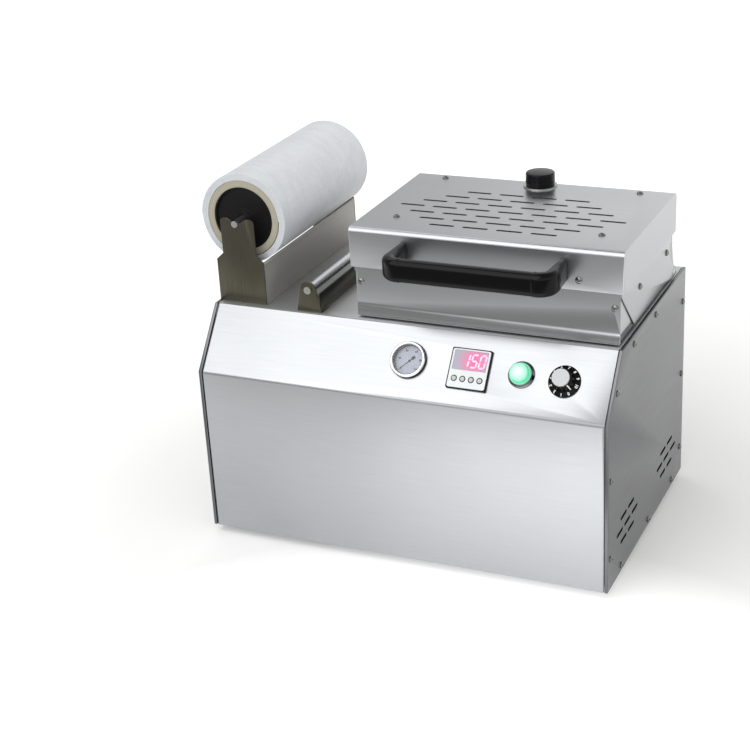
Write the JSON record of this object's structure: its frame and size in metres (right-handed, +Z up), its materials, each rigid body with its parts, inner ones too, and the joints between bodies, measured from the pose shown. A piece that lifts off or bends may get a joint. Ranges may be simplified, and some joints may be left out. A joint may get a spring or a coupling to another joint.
{
  "type": "vacuum skin packaging machine",
  "caption": "Table-top vacuum skin packaging machine in brushed stainless steel, with a hinged heating hood, a sloped control panel and a film roll on its deck",
  "frame": {"origin": "centre of the bounding box, on the surface under the feet", "axes": "+Z up, -Y towards the control panel, +X towards the hood's side"},
  "size_m": [0.5242, 0.322, 0.436],
  "materials": {
    "brushed_sheet": "brushed",
    "bright_steel": "polished",
    "zinc_steel": "satin",
    "bracket_steel": "brushed",
    "aluminium": "satin",
    "black_gloss": "glossy",
    "black_matte": "matte",
    "display": "glossy",
    "key_grey": "satin",
    "green_lens": "translucent",
    "rubber": "matte",
    "silicone": "matte",
    "dial_face": "matte",
    "glass": "clear",
    "brass": "satin",
    "cardboard": "matte",
    "film": "translucent",
    "insulation": "matte",
    "grey_paint": "satin"
  },
  "bodies": {
    "cabinet": {"base_pan": "brushed_sheet", "front_panel": "brushed_sheet", "side_panel_right": "brushed_sheet", "side_panel_left": "brushed_sheet", "rear_panel": "brushed_sheet", "deck_plate": "brushed_sheet", "rubber_feet": "rubber", "foot_screws": "zinc_steel", "cabinet_screws": "zinc_steel", "deck_screws": "zinc_steel", "chamber_pan": "brushed_sheet", "chamber_seal": "silicone", "tray_plate": "brushed_sheet", "hinge_brackets": "zinc_steel", "hinge_rod": "bright_steel", "gauge_case": "zinc_steel", "gauge_bezel": "bright_steel", "gauge_dial": "dial_face", "gauge_lens": "glass", "controller_body": "black_matte", "controller_window": "display", "button_bezel": "bright_steel", "dial_potentiometer": "brass", "roll_bracket_front": "bracket_steel", "roll_bracket_rear": "bracket_steel", "roll_wall": "bracket_steel", "guide_brackets": "brushed_sheet", "guide_axle": "zinc_steel", "pump_body": "grey_paint", "pump_mounts": "rubber", "vacuum_hose": "silicone", "power_unit": "aluminium", "power_inlet": "black_matte"},
    "hood": {"hood_cover": "brushed_sheet", "hood_frame": "brushed_sheet", "hood_arms": "brushed_sheet", "handle_grip": "black_gloss", "handle_ends": "black_gloss", "hood_seal": "rubber", "heater_plate": "aluminium", "heating_element": "zinc_steel", "insulation_board": "insulation", "hood_posts": "zinc_steel", "hood_screws": "zinc_steel", "vent_valve": "zinc_steel"},
    "vent": {"vent_knob": "black_gloss"},
    "shaft": {"roll_shaft": "bright_steel"},
    "roll": {"film_core": "cardboard", "film_roll": "film", "core_plugs": "black_matte"},
    "guide": {"guide_tube": "bright_steel"},
    "dial": {"dial_knob": "black_matte", "dial_shaft": "aluminium"},
    "button": {"button_cap": "green_lens"},
    "key_one": {"key_1": "key_grey"},
    "key_two": {"key_2": "key_grey"},
    "key_three": {"key_3": "key_grey"},
    "key_four": {"key_4": "key_grey"},
    "needle": {"gauge_needle": "black_matte"},
    "pump": {"pump_shaft": "zinc_steel"}
  },
  "joints": [
    {"name": "hood_hinge", "type": "hinge", "parent": "cabinet", "child": "hood", "pos_m": [0.0985, 0.12, 0.29], "axis": [-1, 0, 0], "range_deg": [0, 80]},
    {"name": "vent_turn", "type": "hinge", "parent": "hood", "child": "vent", "pos_m": [0.0985, 0.097, 0.3905], "axis": [0, 0, 1], "range_deg": [0, 90]},
    {"name": "roll_lift", "type": "slide", "parent": "cabinet", "child": "shaft", "axis": [0, 0, 1], "range_m": [0, 0.05]},
    {"name": "roll_spin", "type": "hinge", "parent": "shaft", "child": "roll", "pos_m": [-0.2071, -0.081, 0.38105], "axis": [0, 1, 0], "continuous": true},
    {"name": "guide_spin", "type": "hinge", "parent": "cabinet", "child": "guide", "pos_m": [-0.1175, -0.102, 0.309], "axis": [0, 1, 0], "continuous": true},
    {"name": "dial_turn", "type": "hinge", "parent": "cabinet", "child": "dial", "pos_m": [0.2029, -0.13388, 0.24928], "axis": [0, -0.7843, 0.6204], "range_deg": [-15, 285]},
    {"name": "button_press", "type": "slide", "parent": "cabinet", "child": "button", "axis": [0, 0.7843, -0.6204], "range_m": [0, 0.003], "stiffness_N_per_m": 600, "springref_m": -0.003},
    {"name": "key_one_press", "type": "slide", "parent": "cabinet", "child": "key_one", "axis": [0, 0.7843, -0.6204], "range_m": [0, 0.0006], "stiffness_N_per_m": 1500, "springref_m": -0.001},
    {"name": "key_two_press", "type": "slide", "parent": "cabinet", "child": "key_two", "axis": [0, 0.7843, -0.6204], "range_m": [0, 0.0006], "stiffness_N_per_m": 1500, "springref_m": -0.001},
    {"name": "key_three_press", "type": "slide", "parent": "cabinet", "child": "key_three", "axis": [0, 0.7843, -0.6204], "range_m": [0, 0.0006], "stiffness_N_per_m": 1500, "springref_m": -0.001},
    {"name": "key_four_press", "type": "slide", "parent": "cabinet", "child": "key_four", "axis": [0, 0.7843, -0.6204], "range_m": [0, 0.0006], "stiffness_N_per_m": 1500, "springref_m": -0.001},
    {"name": "needle_swing", "type": "hinge", "parent": "cabinet", "child": "needle", "pos_m": [0.0194, -0.1327, 0.25077], "axis": [0, 0.7843, -0.6204], "range_deg": [0, 270]},
    {"name": "pump_spin", "type": "hinge", "parent": "cabinet", "child": "pump", "pos_m": [0.0985, 0.017, 0.0785], "axis": [1, 0, 0], "continuous": true}
  ]
}
